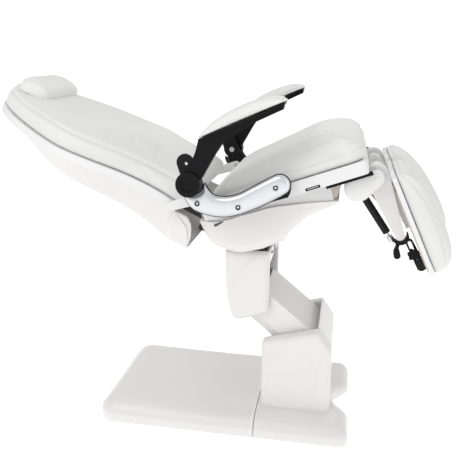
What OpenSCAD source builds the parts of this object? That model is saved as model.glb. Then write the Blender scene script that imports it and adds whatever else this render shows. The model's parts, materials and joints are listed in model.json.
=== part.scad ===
// Electric treatment chair: floor base, swinging lift arm, upright column, tilting seat,
// reclining back, two folding armrests and two independent leg rests.
// +X points to the feet, +Y to the sitter's left, +Z up. The origin is on the floor under
// the middle of the base.

/* [Base] */
// Length of the floor base
base_len = 908; // [890:2:930]
// Width of the floor base
base_w = 518; // [500:2:540]
// Height of the base's upright side wall
base_wall_h = 48; // [44:1:54]
// Height of the base's crowned top
base_top = 86; // [82:1:92]
// Depth of the notch between the two front toes
base_notch = 58; // [30:2:66]
// Width of the housing that holds the lower pivots
housing_w = 340; // [332:2:350]

/* [Lift] */
// Distance between the two pivots of the lift arm
arm_len = 286; // [276:2:290]
// Angle of the lift arm above horizontal, at rest
arm_angle = 39.8; // [38:0.2:41]
// Width over the lift arm's cover
arm_w = 244; // [236:2:246]
// Width over the column's cover
column_w = 320; // [316:2:332]
// Radius of the lift pivot pins
pivot_r = 10; // [8:0.5:12]

/* [Seat] */
// Slope of the seat at rest, front up
seat_slope = 19.6; // [18:0.2:20]
// Width over the seat's trim
seat_w = 560; // [556:2:566]
// Length of the seat's trim
seat_len = 545; // [540:1:548]
// Thickness of the seat cushion's front bolster above the trim
bolster_h = 106; // [98:1:110]

/* [Backrest] */
// Slope of the backrest at rest, head up
back_slope = 24; // [23:0.5:25]
// Length of the backrest's trim, from the seat to the head
back_len = 770; // [760:2:780]
// Widest half-width of the backrest, at the shoulders
shoulder_half = 276; // [268:1:280]
// Narrowest half-width of the backrest, at the waist
waist_half = 222; // [218:1:228]
// Thickness of the back cushion at the waist
back_cushion_t = 90; // [84:1:92]

/* [Armrests] */
// Outer face of the armrests from the middle plane
arm_out = 384; // [380:1:390]
// Width of an arm pad
pad_w = 78; // [70:1:80]
// Radius of the round pivot cap
cap_r = 37; // [34:1:40]

/* [Leg rests] */
// Angle of the right leg rest from vertical, at rest
leg_angle_right = 24.7; // [22:0.1:27]
// Angle of the left leg rest from vertical, at rest
leg_angle_left = 30.5; // [28:0.5:33]
// Length of a leg rest's shell
leg_len = 347; // [335:1:355]
// Width of a leg rest's shell
leg_w = 268; // [260:1:270]
// Thickness of a leg cushion at its fullest
leg_cushion_t = 87; // [78:1:90]

/* [Hidden] */

$fn = 64;
wall = 4;            // wall of every moulded cover
running = 0.05;      // radial clearance of every pin in its bore
white = "white";
cream = "whitesmoke";
steel = "dimgray";
black = "black";
silver = "silver";

// Lift: lower pivots on the base, upper pivots on the column, [x, z]
lift_low = [296, 318];
lift_up = lift_low + arm_len * [-cos(arm_angle), sin(arm_angle)];
link_drop = 40;              // the parallel link's pivots sit this far below the arm's
housing_x = [128, 377];
housing_peak = [329, 392];
column_x = [-3, 152];
column_top = 662;
slot_half = arm_w / 2 + 4;   // half-width of the slots that the lift arm swings in

// Where the lift actuator's foot turns on the base, and its place along the arm
lift_foot = [352, 134];
lift_eye_s = 150;

// Seat: tilt axis on the column's neck, and the rear lower corner of the trim
tilt_axis = [75, 720];
seat_corner = [-60, 800];
trim_q = [-13, 28];          // lower and upper edge of the seat's trim, off the seat plane
tilt_foot = [105, 590];
tilt_eye = [170, 800];

// Backrest: hinge on the arm plates, and the rear lower corner of the trim
back_hinge = [-42, 878];
back_corner = [-126, 840];
back_foot = [-85, 738];      // foot of the back actuator, on the seat frame
back_eye = [330, -64];       // its far end, [along the back, off the back]

// Armrests
arm_axis = [-67, 936];
plate_y = [322, 328];        // steel arm plate, from the middle plane
cover_y = [329, 345];        // aluminium cover outside it
arm_y = [347, 375];          // armrest's lower leg

// Leg rests
leg_axis = [486, 945];
leg_gap = 12;                // inner edge of a leg rest from the middle plane
gas_foot = [437, 889];
gas_eye = [-32, 238];        // its lower end, [off the leg, along the leg]
gas_y = 134;
gas_r = 12.5;

// ---------- helpers ----------

// Extrude a profile drawn in x and z between two y values
module across(y0, y1) {
    translate([0, y1, 0]) rotate([90, 0, 0]) linear_extrude(y1 - y0) children();
}

// Round bar along y at [x, z]
module bar_y(r, y0, y1, at) {
    translate([at[0], y1, at[1]]) rotate([90, 0, 0]) cylinder(r = r, h = y1 - y0);
}

// The same piece on the right, and its mirror image on the left
module both_sides() {
    children();
    mirror([0, 1, 0]) children();
}

// Rectangle with true round corners
module round_rect(x0, x1, y0, y1, r) {
    translate([x0 + r, y0]) square([x1 - x0 - 2 * r, y1 - y0]);
    translate([x0, y0 + r]) square([x1 - x0, y1 - y0 - 2 * r]);
    for (x = [x0 + r, x1 - r], y = [y0 + r, y1 - r]) translate([x, y]) circle(r);
}

// Flat link with round ends between two points
module link_2d(a, b, ra, rb) {
    hull() {
        translate(a) circle(ra, $fn = 32);
        translate(b) circle(rb, $fn = 32);
    }
}

// Square tube along x, with its wall
module tube_x(x0, x1, y0, y1, z0, z1, t) {
    difference() {
        translate([x0, y0, z0]) cube([x1 - x0, y1 - y0, z1 - z0]);
        translate([x0 - 1, y0 + t, z0 + t]) cube([x1 - x0 + 2, y1 - y0 - 2 * t, z1 - z0 - 2 * t]);
    }
}

// Frames of the moving parts: local x runs forwards along the part, or towards the seat on
// the back; the leg's local x points out of the cushion and its local -z down the leg
module on_arm() { translate([lift_low[0], 0, lift_low[1]]) rotate([0, arm_angle, 0]) children(); }
module on_seat() { translate([seat_corner[0], 0, seat_corner[1]]) rotate([0, -seat_slope, 0]) children(); }
module on_back() { translate([back_corner[0], 0, back_corner[1]]) rotate([0, back_slope, 0]) children(); }
module on_leg(angle) { translate([leg_axis[0], 0, leg_axis[1]]) rotate([0, -angle, 0]) children(); }

// A world point [x, z] seen in the seat's or the back's frame
function in_seat(p) = let (d = p - seat_corner)
    [d[0] * cos(seat_slope) + d[1] * sin(seat_slope), -d[0] * sin(seat_slope) + d[1] * cos(seat_slope)];
function in_back(p) = let (d = p - back_corner)
    [d[0] * cos(back_slope) - d[1] * sin(back_slope), d[0] * sin(back_slope) + d[1] * cos(back_slope)];

// Smooth curve through a list of [position, value] knots
function catmull(a, b, c, d, u) =
    0.5 * (2 * b + (c - a) * u + (2 * a - 5 * b + 4 * c - d) * u * u + (3 * b - a - 3 * c + d) * u * u * u);
function clamp_i(i, n) = max(0, min(n - 1, i));
function smooth(knots, i, u) = let (n = len(knots))
    catmull(knots[clamp_i(i - 1, n)], knots[i], knots[clamp_i(i + 1, n)], knots[clamp_i(i + 2, n)], u);
function curve(knots, steps) = [
    for (i = [0 : len(knots) - 2], k = [0 : steps - 1]) smooth(knots, i, k / steps),
    knots[len(knots) - 1]
];

// ---------- base ----------

base_x = [-base_len / 2 - 10, base_len / 2 - 10];
base_split = 118;            // seam between the rear and the front cover

// Solid of the cover: its plan, cut by a roof that slopes on all sides and around the notch.
// inset draws the same block that much smaller, to hollow the cover
module base_solid(inset) {
    half = base_w / 2 - inset;
    ends = [base_x[0] + inset, base_x[1] - inset];
    toe = 48;
    rise = base_top - base_wall_h;
    eave = base_wall_h - inset;
    slope = [[0, eave], [20, eave + 0.6 * rise], [64, eave + rise]];
    notch_half = 112;
    notch_r = (pow(notch_half, 2) + pow(base_notch, 2)) / (2 * base_notch);
    difference() {
        intersection() {
            linear_extrude(base_top + 1) round_rect(ends[0], ends[1], -half, half, toe);
            across(-half - 1, half + 1) polygon(concat(
                [[ends[0], -1]], [for (s = slope) [ends[0] + s[0], s[1]]],
                [for (i = [2 : -1 : 0]) [ends[1] - slope[i][0], slope[i][1]]], [[ends[1], -1]]));
            translate([ends[0] - 1, 0, 0]) rotate([90, 0, 90]) linear_extrude(ends[1] - ends[0] + 2)
                polygon(concat(
                    [[-half, -1]], [for (s = slope) [-half + s[0], s[1]]],
                    [for (i = [2 : -1 : 0]) [half - slope[i][0], slope[i][1]]], [[half, -1]]));
        }
        translate([base_x[1] + notch_r - base_notch, 0, 0]) rotate_extrude($fn = 128) polygon(concat(
            [[0, -5], [notch_r + inset, -5]],
            [for (s = slope) [notch_r + inset + s[0], s[1]]],
            [[notch_r + inset + 65, base_top + 5], [0, base_top + 5]]));
    }
}

module base_shell() {
    difference() {
        base_solid(0);
        base_solid(wall);
        translate([-600, -400, -1]) cube([1200, 800, 7]);
        translate([housing_x[0] - 1, -housing_w / 2 - 1, 50])
            cube([housing_x[1] - housing_x[0] + 2, housing_w + 2, 60]);
    }
}

module base_cover_rear() {
    color(white) intersection() {
        base_shell();
        translate([base_x[0] - 5, -300, 0]) cube([base_split - base_x[0] + 4.6, 600, 120]);
    }
}

module base_cover_front() {
    color(white) intersection() {
        base_shell();
        translate([base_split, -300, 0]) cube([400, 600, 120]);
    }
}

rail_y = [168, 198];
rail_z = [14, 44];

module base_frame() {
    color(steel) {
        both_sides() tube_x(-400, 372, rail_y[0], rail_y[1], rail_z[0], rail_z[1], 3);
        for (x = [-400, -15, 210, 342])
            translate([x, -rail_y[0], rail_z[0]]) cube([30, 2 * rail_y[0], 30]);
        translate([205, -120, rail_z[1]]) cube([167, 240, 6]);
    }
}

module base_feet() {
    corners = [for (x = [-370, 352], y = [-183, 183]) [x, y]];
    color(black) for (p = concat([[0, 0]], corners)) translate([p[0], p[1], 0]) {
        cylinder(r = 20, h = 8);
        cylinder(r = 5, h = rail_z[0] - 0.2);
    }
}

module control_box() {
    color("gray") difference() {
        translate([-250, -75, rail_z[0]]) cube([170, 150, 42]);
        translate([-245, -70, rail_z[0] + 4]) cube([160, 140, 34]);
    }
}

// Two steel cheeks that carry the lower pivots, and the lift actuator's foot lugs
module pivot_bracket() {
    cheek = [94.5, 102.5];
    bracket_z = rail_z[1] + 6;
    color(steel) difference() {
        union() {
            both_sides() across(cheek[0], cheek[1]) hull() {
                translate(lift_low) circle(26, $fn = 32);
                translate([235, bracket_z]) square([130, 8]);
            }
            both_sides() across(26, 34) hull() {
                translate(lift_foot) circle(16, $fn = 32);
                translate([322, bracket_z]) square([45, 8]);
            }
            translate([210, -112, bracket_z]) cube([158, 224, 8]);
        }
        bar_y(pivot_r + running, -120, 120, lift_low);
        bar_y(pivot_r + running, -120, 120, lift_low - [0, link_drop]);
        bar_y(6 + running, -40, 40, lift_foot);
    }
}

module base_pins() {
    color(silver) {
        bar_y(pivot_r, -106, 106, lift_low);
        both_sides() bar_y(pivot_r, 72, 106, lift_low - [0, link_drop]);
        bar_y(6, -38, 38, lift_foot);
    }
}

// Side outline of the housing: its top edge climbs to a chamfered front
module housing_side(inset) {
    offset(delta = -inset) polygon([
        [housing_x[0], 60], [housing_x[0], 100], [134, 340], housing_peak, [373, 325], [housing_x[1], 60]
    ]);
}

module housing_cover() {
    half = housing_w / 2;
    color(white) difference() {
        intersection() {
            across(-half, half) housing_side(0);
            translate([0, 0, 40]) linear_extrude(400) round_rect(housing_x[0], housing_x[1], -half, half, 26);
        }
        // inside of each cheek
        both_sides() intersection() {
            across(slot_half + wall, half - wall) union() {
                housing_side(wall);
                translate([housing_x[0] + wall, 40]) square([housing_x[1] - housing_x[0] - 2 * wall, 60]);
            }
            translate([0, 0, 30]) linear_extrude(400)
                round_rect(housing_x[0] + wall, housing_x[1] - wall, -half + wall, half - wall, 22);
        }
        // slot for the arm, open at the top and the back and closed in front
        across(-slot_half, slot_half) union() {
            housing_side(wall);
            translate([housing_x[0] + wall, 40]) square([housing_x[1] - housing_x[0] - 2 * wall, 60]);
            translate([housing_x[0] + wall, 200]) square([housing_peak[0] - 7 - housing_x[0], 240]);
        }
        translate([housing_x[0] - 10, -slot_half, 170]) cube([100, 2 * slot_half, 400]);
    }
}

// ---------- lift arm ----------

arm_n = [-72, 46];           // lower and upper face of the arm's cover, off its pivot line

module lift_arm_frame() {
    plate = [60, 72];
    color(steel) on_arm() difference() {
        union() {
            both_sides() across(plate[0], plate[1]) link_2d([0, 0], [-arm_len, 0], 22, 16);
            for (s = [0, arm_len]) bar_y(18, -80, 80, [-s, 0]);
            bar_y(12, -60, 60, [-lift_eye_s, 16]);
            both_sides() across(14, 22) link_2d([-lift_eye_s, 16], [-lift_eye_s, -10], 14, 14);
            both_sides() for (s = [90, 205]) bar_y(7, plate[1], arm_w / 2 - wall - 0.2, [-s, 8]);
        }
        for (s = [0, arm_len]) bar_y(pivot_r + running, -90, 90, [-s, 0]);
    }
}

module arm_side(inset) {
    r = arm_n[1] - inset;
    hull() {
        for (s = [0, arm_len]) translate([-s, 0]) circle(r, $fn = 32);
        translate([-8, arm_n[0] + arm_n[1]]) circle(r, $fn = 32);
        translate([-arm_len + 48, arm_n[0] + arm_n[1]]) circle(r, $fn = 32);
    }
}

module lift_arm_cover() {
    half = arm_w / 2;
    chamfer = [20, 32];      // across, up
    color(white) on_arm() difference() {
        intersection() {
            across(-half, half) arm_side(0);
            rotate([90, 0, -90]) linear_extrude(600, center = true) polygon([
                [-half, arm_n[1] + 1], [-half, arm_n[0] + chamfer[1]], [-half + chamfer[0], arm_n[0] - 1],
                [half - chamfer[0], arm_n[0] - 1], [half, arm_n[0] + chamfer[1]], [half, arm_n[1] + 1]
            ]);
        }
        intersection() {
            across(-half + wall, half - wall) arm_side(wall);
            rotate([90, 0, -90]) linear_extrude(600, center = true) polygon([
                [-half + wall, 60], [-half + wall, arm_n[0] + chamfer[1] + 2],
                [-half + wall + chamfer[0], arm_n[0]], [half - wall - chamfer[0], arm_n[0]],
                [half - wall, arm_n[0] + chamfer[1] + 2], [half - wall, 60]
            ]);
        }
        // the ends open for the brackets: below at the base, above at the column
        translate([-66, -half + wall, -100]) cube([140, arm_w - 2 * wall, 112]);
        translate([-arm_len - 60, -half + wall, -14]) cube([98, arm_w - 2 * wall, 100]);
        translate([-arm_len - 60, -half + wall, -100]) cube([114, arm_w - 2 * wall, 112]);
        // slot for the actuator
        translate([-230, -38, -100]) cube([190, 76, 60]);
    }
}

module parallel_link() {
    color(steel) translate([0, 0, -link_drop]) on_arm() difference() {
        union() {
            both_sides() across(84, 92) link_2d([0, 0], [-arm_len, 0], 14, 14);
            both_sides() bar_y(13, 76, 90, [0, 0]);
            bar_y(13, -90, 90, [-arm_len, 0]);
        }
        for (s = [0, arm_len]) bar_y(pivot_r + running, -100, 100, [-s, 0]);
    }
}

// ---------- linear actuators ----------

// Body of an actuator along local +x: foot eye, outer tube and a motor across its foot
module actuator_body(len, r, motor_len) {
    color(steel) difference() {
        union() {
            bar_y(14, -r, r, [0, 0]);
            translate([8, 0, 0]) rotate([0, 90, 0]) cylinder(r = r, h = len - 8);
            if (motor_len > 0) cylinder(r = r * 1.05, h = motor_len);
        }
        bar_y(6 + running, -r * 2, r * 2, [0, 0]);
        translate([30, 0, 0]) rotate([0, 90, 0]) cylinder(r = r * 0.45 + running, h = len);
    }
}

// Rod of an actuator: a straight bar with an eye at its far end
module actuator_rod(start, end, r, eye_half) {
    color(silver) difference() {
        union() {
            translate([start, 0, 0]) rotate([0, 90, 0]) cylinder(r = r * 0.45, h = end - start);
            bar_y(12, -eye_half, eye_half, [end, 0]);
        }
        bar_y(6, -40, 40, [end, 0]);
    }
}

// Place an actuator at its foot, pointing at its far end
function aim(a, b) = atan2(b[1] - a[1], b[0] - a[0]);
function gap(a, b) = norm(b - a);
module from_to(a, b) { translate([a[0], 0, a[1]]) rotate([0, -aim(a, b), 0]) children(); }

lift_eye = lift_low + lift_eye_s * [-cos(arm_angle), sin(arm_angle)] - 10 * [sin(arm_angle), cos(arm_angle)];
back_eye_xz = back_corner + back_eye[0] * [-cos(back_slope), sin(back_slope)]
    + back_eye[1] * [sin(back_slope), cos(back_slope)];

module lift_actuator_body() { from_to(lift_foot, lift_eye) actuator_body(150, 22, 45); }
module lift_actuator_rod() {
    from_to(lift_foot, lift_eye) actuator_rod(118, gap(lift_foot, lift_eye), 22, 10);
}
module tilt_actuator_body() { from_to(tilt_foot, tilt_eye) actuator_body(110, 18, 0); }
module tilt_actuator_rod() { from_to(tilt_foot, tilt_eye) actuator_rod(75, gap(tilt_foot, tilt_eye), 18, 8); }
module back_actuator_body() { from_to(back_foot, back_eye_xz) actuator_body(216, 22, 54); }
module back_actuator_rod() {
    from_to(back_foot, back_eye_xz) actuator_rod(134, gap(back_foot, back_eye_xz), 22, 12);
}

// ---------- column ----------

module column_frame() {
    color(steel) difference() {
        union() {
            both_sides() across(94.5, 102.5) hull() {
                translate(lift_up) circle(24, $fn = 32);
                translate(lift_up - [0, link_drop]) circle(16, $fn = 32);
                translate([30, 612]) square([62, 8]);
            }
            translate([20, -106, 612]) cube([122, 212, 10]);
            both_sides() across(60, 70) hull() {
                translate(tilt_axis) circle(22, $fn = 32);
                translate([35, 614]) square([95, 8]);
            }
            both_sides() across(26, 34) hull() {
                translate(tilt_foot) circle(14, $fn = 32);
                translate([86, 612]) square([40, 8]);
            }
        }
        bar_y(pivot_r + running, -120, 120, lift_up);
        bar_y(pivot_r + running, -120, 120, lift_up - [0, link_drop]);
        bar_y(12 + running, -90, 90, tilt_axis);
        bar_y(6 + running, -40, 40, tilt_foot);
        translate([82, -25, 600]) cube([70, 50, 30]);
    }
}

module column_pins() {
    color(silver) {
        bar_y(pivot_r, -106, 106, lift_up);
        bar_y(pivot_r, -106, 106, lift_up - [0, link_drop]);
        bar_y(12, -88, 88, tilt_axis);
        bar_y(6, -38, 38, tilt_foot);
    }
}

module column_side(inset) {
    offset(delta = -inset) polygon([
        [column_x[0], column_top], [0, 521], [11, 454], [25, 410], [54, 410], [107, 428],
        [column_x[1], 445], [column_x[1], column_top]
    ]);
}

module column_cover() {
    half = column_w / 2;
    color(white) difference() {
        intersection() {
            across(-half, half) column_side(0);
            translate([0, 0, 380]) linear_extrude(400) round_rect(column_x[0], column_x[1], -half, half, 22);
        }
        intersection() {
            across(-half + wall, half - wall) union() {
                column_side(wall);
                translate([column_x[0] + wall, 560]) square([147, 200]);
                translate([34, 380]) square([108, 100]);
            }
            translate([0, 0, 370]) linear_extrude(400)
                round_rect(column_x[0] + wall, column_x[1] - wall, -half + wall, half - wall, 18);
        }
        // front opening that the arm swings in
        translate([60, -slot_half, 380]) cube([120, 2 * slot_half, 240]);
        // notch that the tilt actuator leans out of
        translate([100, -34, 600]) cube([80, 68, 100]);
    }
}

// ---------- seat ----------

tube_spots = [[172, 5], [270, 10]];  // cross tubes that carry the arm plates, in the seat's frame

module seat_frame() {
    tilt_local = in_seat(tilt_axis);
    foot_local = in_seat(back_foot);
    eye_local = in_seat(tilt_eye);
    color(steel) on_seat() difference() {
        union() {
            both_sides() tube_x(30, 520, 160, 190, -12, 20, 3);
            for (p = [30, 225, 490]) translate([p, -165, -12]) cube([30, 330, 30]);
            for (t = tube_spots) bar_y(12.5, -plate_y[0] + 0.2, plate_y[0] - 0.2, t);
            translate([60, -165, -12]) cube([100, 330, 6]);
            both_sides() across(74, 82) hull() {
                translate(tilt_local) circle(22, $fn = 32);
                translate([62, -12]) square([96, 6]);
            }
            both_sides() across(14, 20) hull() {
                translate(eye_local) circle(14, $fn = 32);
                translate([226, -12]) square([28, 6]);
            }
            both_sides() across(26, 34) hull() {
                translate(foot_local) circle(13, $fn = 32);
                translate([42, -12]) square([22, 12]);
            }
        }
        bar_y(12 + running, -100, 100, tilt_local);
        bar_y(6 + running, -60, 60, foot_local);
        bar_y(6, -60, 60, eye_local);
    }
}

module seat_pins() {
    color(silver) {
        bar_y(6, -38, 38, back_foot);
        both_sides() {
            bar_y(8, 283, plate_y[1] + 0.5, back_hinge);
            bar_y(pivot_r, plate_y[0] - 2, arm_y[1] - 2, arm_axis);
            bar_y(7, 56, 236, leg_axis);
            bar_y(5, 118, 236, gas_foot);
        }
    }
}

// Side outline of the belly under the seat
module belly_side(inset) {
    offset(delta = -inset) polygon([
        [-68, 840], [-68, 769], [-56, 729], [-36, 702], [9, 684], [59, 675], [133, 692], [175, 711],
        [205, 723], [223, 755], [270, 801], [316, 830], [362, 851], [371, 868], [376, 900], [376, 990]
    ]);
}

// Cross-section of the belly, its lower sides drawn in
module belly_section(inset) {
    offset(delta = -inset) polygon([
        [-240, 140], [-240, 0], [-204, -62], [-150, -130], [150, -130], [204, -62], [240, 0], [240, 140]
    ]);
}

module belly_solid(inset) {
    intersection() {
        across(-250, 250) belly_side(inset);
        translate([17, 0, 790]) rotate([0, -12.3, 0]) rotate([90, 0, 90])
            linear_extrude(1200, center = true) belly_section(inset);
    }
}

module seat_under_cover() {
    color(white) difference() {
        belly_solid(0);
        belly_solid(wall);
        // open to the seat above
        on_seat() translate([-60, -260, -14.5]) cube([700, 520, 200]);
        // openings for the column's neck, the back actuator and the front
        translate([4, -92, 600]) cube([180, 184, 200]);
        translate([-120, -44, 690]) cube([80, 88, 130]);
        translate([340, -190, 862]) cube([60, 380, 80]);
    }
}

module seat_trim() {
    half = seat_w / 2;
    color(white) on_seat() difference() {
        intersection() {
            across(-half, half) polygon([
                [8, -4], [8, 20], [16, trim_q[1]], [seat_len - 4, trim_q[1]],
                [seat_len + 8, 16], [seat_len, trim_q[0]], [60, trim_q[0]]
            ]);
            translate([0, 0, -50]) linear_extrude(120) round_rect(8, seat_len + 8, -half, half, 24);
        }
        translate([8 + wall, -half + wall, -60])
            cube([seat_len - 12 - wall, seat_w - 2 * wall, 60 + trim_q[1] - wall]);
        both_sides() for (t = tube_spots) bar_y(13.5, half - 10, half + 10, t);
        both_sides() translate([352, half - 8, -10.5]) cube([46, 16, 9]);
    }
}

module seat_cushion() {
    low = trim_q[1] + 0.5;
    half = seat_w / 2 - 8;
    top = bolster_h + 29;
    color(cream) on_seat() intersection() {
        across(-half, half) union() {
            polygon([
                [68, low + 1.5], [seat_len, low + 1.5], [seat_len + 9, 46], [seat_len + 8, top - 52],
                [seat_len - 6, top - 27], [510, top - 11], [470, top - 3], [427, top], [352, top - 11],
                [277, top - 22], [200, top - 31], [68, top - 45]
            ]);
            translate([68, 60]) circle(30);
        }
        translate([0, 0, -10]) linear_extrude(300) round_rect(38, seat_len + 9, -half, half, 40);
    }
}

module seat_front_bars() {
    color(black) on_seat() both_sides() translate([410, 241, -27]) cube([146, 12, 12.5]);
}

module side_handle() {
    half = seat_w / 2;
    color(black) on_seat() both_sides() difference() {
        translate([352.3, half - wall, -10.2]) cube([45.4, 5, 8.4]);
        translate([357, half - 10, -7.6]) cube([36, 20, 3.2]);
    }
}

// Steel plate of one armrest: a rounded lug, the pivots, then a foot that runs along the seat
module arm_plate() {
    color(black) difference() {
        across(plate_y[0], plate_y[1]) union() {
            link_2d([-88, 993], arm_axis, 27, 30);
            link_2d(arm_axis, [-40, 882], 30, 24);
            link_2d([-40, 882], [8, 862], 24, 20);
            link_2d([8, 862], [80, 864], 20, 20);
            link_2d([80, 864], [214, 925], 20, 20);
            polygon([[120, 864], [226, 899], [233, 915], [200, 925], [120, 880]]);
        }
        bar_y(5, 300, 340, [-85, 990]);
        bar_y(8 + running, 300, 340, back_hinge);
        bar_y(pivot_r + running, 300, 340, arm_axis);
    }
}

module arm_plate_right() { mirror([0, 1, 0]) arm_plate(); }
module arm_plate_left() { arm_plate(); }

// Curved aluminium cover over the arm plate, with its screws sunk in
bracket_screw_at = [[-48, 872], [78, 866], [190, 930]];
cover_outer = [[-95, 918], [-92, 890], [-62, 850], [0, 832], [62, 836], [140, 867], [214, 907]];
cover_inner = [[186, 965], [118, 926], [79, 904], [40, 894], [4, 897], [-17, 915], [-27, 934]];

module arm_bracket_cover() {
    color(silver) difference() {
        across(cover_y[0], cover_y[1]) union() {
            polygon(concat(curve(cover_outer, 5), curve(cover_inner, 5)));
            translate([201, 937]) circle(31);
        }
        bar_y(cap_r + 3, cover_y[0] - 1, cover_y[1] + 1, arm_axis);
        for (s = bracket_screw_at) {
            bar_y(9, cover_y[1] - 6, cover_y[1] + 1, s);
            bar_y(4, cover_y[0] - 1, cover_y[1] + 1, s);
        }
    }
}

module arm_bracket_cover_right() { mirror([0, 1, 0]) arm_bracket_cover(); }
module arm_bracket_cover_left() { arm_bracket_cover(); }

module bracket_screws() {
    color(steel) both_sides() for (s = bracket_screw_at) difference() {
        union() {
            bar_y(6.5, cover_y[1] - 6, cover_y[1] - 2, s);
            bar_y(3.5, cover_y[0] - 0.5, cover_y[1] - 5, s);
        }
        translate([s[0], cover_y[1] - 1, s[1]]) rotate([90, 0, 0]) cylinder(r = 3.2, h = 3.5, $fn = 6);
    }
}

// White cheeks under the seat's front that carry the leg rest pivots
module leg_brackets() {
    color(white) both_sides() difference() {
        across(194, 238) union() {
            translate([430, 914]) circle(42);
            link_2d([430, 914], leg_axis, 34, 20);
        }
        bar_y(7 + running, 190, 250, leg_axis);
        bar_y(5 + running, 190, 250, gas_foot);
        on_seat() translate([380, 150, -14]) cube([130, 100, 80]);
    }
}

// ---------- backrest ----------

// Half-width of the backrest along its length, [along the back, half-width]
back_knots = [
    [-80, 268], [0, 261], [80, 232], [150, waist_half], [230, waist_half + 6], [330, 258],
    [430, shoulder_half], [520, 254], [614, 209], [675, 168], [729, 114], [755, 70], [back_len, 0]
];

module back_outline(inset, start) {
    side = curve(back_knots, 4);
    intersection() {
        offset(delta = -inset) polygon(concat(
            [for (p = side) [-p[0], p[1]]],
            [for (i = [len(side) - 2 : -1 : 0]) [-side[i][0], -side[i][1]]]
        ));
        translate([-1000, -400]) square([1000 - start, 800]);
    }
}

module back_frame() {
    hinge_local = in_back(back_hinge);
    stub = [-34, -16];
    color(white) on_back() difference() {
        union() {
            both_sides() tube_x(-620, -24, 120, 150, -26, -6, 3);
            for (s = [24, 400, 600]) translate([-s - 22, -125, -26]) cube([22, 250, 20]);
            bar_y(9, -281, 281, stub);
            both_sides() across(281, 287) link_2d(stub, hinge_local, 14, 18);
            both_sides() across(28, 36) hull() {
                translate([-back_eye[0], back_eye[1]]) circle(22, $fn = 32);
                translate([-410, -26]) square([30, 10]);
            }
        }
        bar_y(8 + running, -300, 300, hinge_local);
        bar_y(6, -50, 50, [-back_eye[0], back_eye[1]]);
    }
}

module back_trim() {
    color(white) on_back() difference() {
        translate([0, 0, -25]) linear_extrude(25) back_outline(0, 12);
        translate([0, 0, -26]) linear_extrude(22) back_outline(wall + 1, 17);
        both_sides() bar_y(10, 200, 300, [-34, -16]);
    }
}

// Side outline of the rear shell, deep at the seat and thin at the head
module shell_side() {
    polygon([
        [-10, -26], [30, -44], [46, -55], [66, -95], [71, -143], [3, -143], [-77, -134], [-157, -123],
        [-237, -113], [-317, -102], [-399, -85], [-485, -58], [-560, -34], [-600, -26]
    ]);
}

module back_shell() {
    color(white) on_back() difference() {
        intersection() {
            across(-290, 290) shell_side();
            translate([0, 0, -200]) linear_extrude(200) back_outline(0, -80);
        }
        intersection() {
            across(-290, 290) translate([12, wall + 1]) shell_side();
            translate([0, 0, -200]) linear_extrude(200) back_outline(wall, -90);
        }
        // the floor of the shell stops short of the belly, so that the back can lie flat
        translate([24, -209, -160]) cube([80, 418, 60]);
    }
}

module back_cushion() {
    t = back_cushion_t;
    color(cream) on_back() intersection() {
        translate([0, 0, 0.6]) linear_extrude(200) back_outline(6, -60);
        across(-290, 290) union() {
            translate([13, 62]) circle(27);
            polygon([
                [13, 1], [13, t - 5], [-100, t], [-300, t - 3], [-500, t - 17],
                [-690, t - 25], [-740, t - 32],
                [-back_len + 2, t - 52], [-back_len + 2, 1]
            ]);
        }
    }
}

module headrest_pillow() {
    color(cream) on_back() across(-150, 150) union() {
        translate([-604, 104]) circle(30);
        translate([-706, 102]) circle(30);
        translate([-706, 73.5]) square([102, 62]);
    }
}

// ---------- armrests ----------

module armrest() {
    color(black) difference() {
        union() {
            across(arm_y[0], arm_y[1]) union() {
                translate(arm_axis) circle(cap_r + 1);
                polygon([
                    [-101, 954], [-64, 989], [-45, 1032], [-34, 1072], [215, 1181], [210, 1160],
                    [135, 1125], [74, 1085], [36, 1060], [12, 1024], [-29, 952]
                ]);
            }
            across(arm_out - pad_w + 8, arm_out - 6) polygon([
                [-36, 1062], [-34, 1072], [215, 1181], [213, 1172]
            ]);
        }
        bar_y(pivot_r + running, arm_y[0] - 10, arm_y[1] + 10, arm_axis);
    }
}

module armrest_right() { mirror([0, 1, 0]) armrest(); }
module armrest_left() { armrest(); }

module arm_pad() {
    color(cream) across(arm_out - pad_w, arm_out) polygon([
        [-36, 1072.5], [-38, 1080], [-28, 1092], [4, 1121], [46, 1150], [103, 1177], [151, 1194],
        [187, 1199], [209, 1195], [220, 1186], [216, 1182.5]
    ]);
}

module arm_pad_right() { mirror([0, 1, 0]) arm_pad(); }
module arm_pad_left() { arm_pad(); }

module arm_cap() {
    color(black) difference() {
        bar_y(cap_r + 1, arm_y[1] + 0.3, arm_y[1] + 8, arm_axis);
        bar_y(22, arm_y[1] + 5, arm_y[1] + 9, arm_axis);
    }
}

module arm_cap_right() { mirror([0, 1, 0]) arm_cap(); }
module arm_cap_left() { arm_cap(); }

// ---------- leg rests ----------
// Each piece is drawn for the left leg in the leg's frame, as [off the leg, up the leg].

shell_v = [39, 53];
bar_v = [20, 32];

arm_band = [150, 190];       // white arm, from the middle plane
bar_band = [66, 102];        // steel bar beside it

// White tapered arm from the hub down behind the shell, and the steel bar beside it
module leg_arm(angle) {
    color(white) on_leg(angle) difference() {
        union() {
            across(arm_band[0], arm_band[1]) hull() {
                circle(37, $fn = 48);
                translate([-3, -205]) circle(15, $fn = 32);
            }
            across(bar_band[0], bar_band[1]) hull() {
                circle(28, $fn = 32);
                translate([18, -60]) circle(12, $fn = 32);
            }
            translate([bar_v[0], bar_band[0], -215])
                cube([bar_v[1] - bar_v[0], bar_band[1] - bar_band[0], 175]);
            bar_y(13, bar_band[0], arm_band[1], [0, 0]);
        }
        bar_y(7 + running, 50, 200, [0, 0]);
        // short dark joint line on the hub's outer face
        translate([-14, arm_band[1] - 2, 8]) rotate([0, 40, 0]) cube([3, 4, 30]);
    }
}

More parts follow.
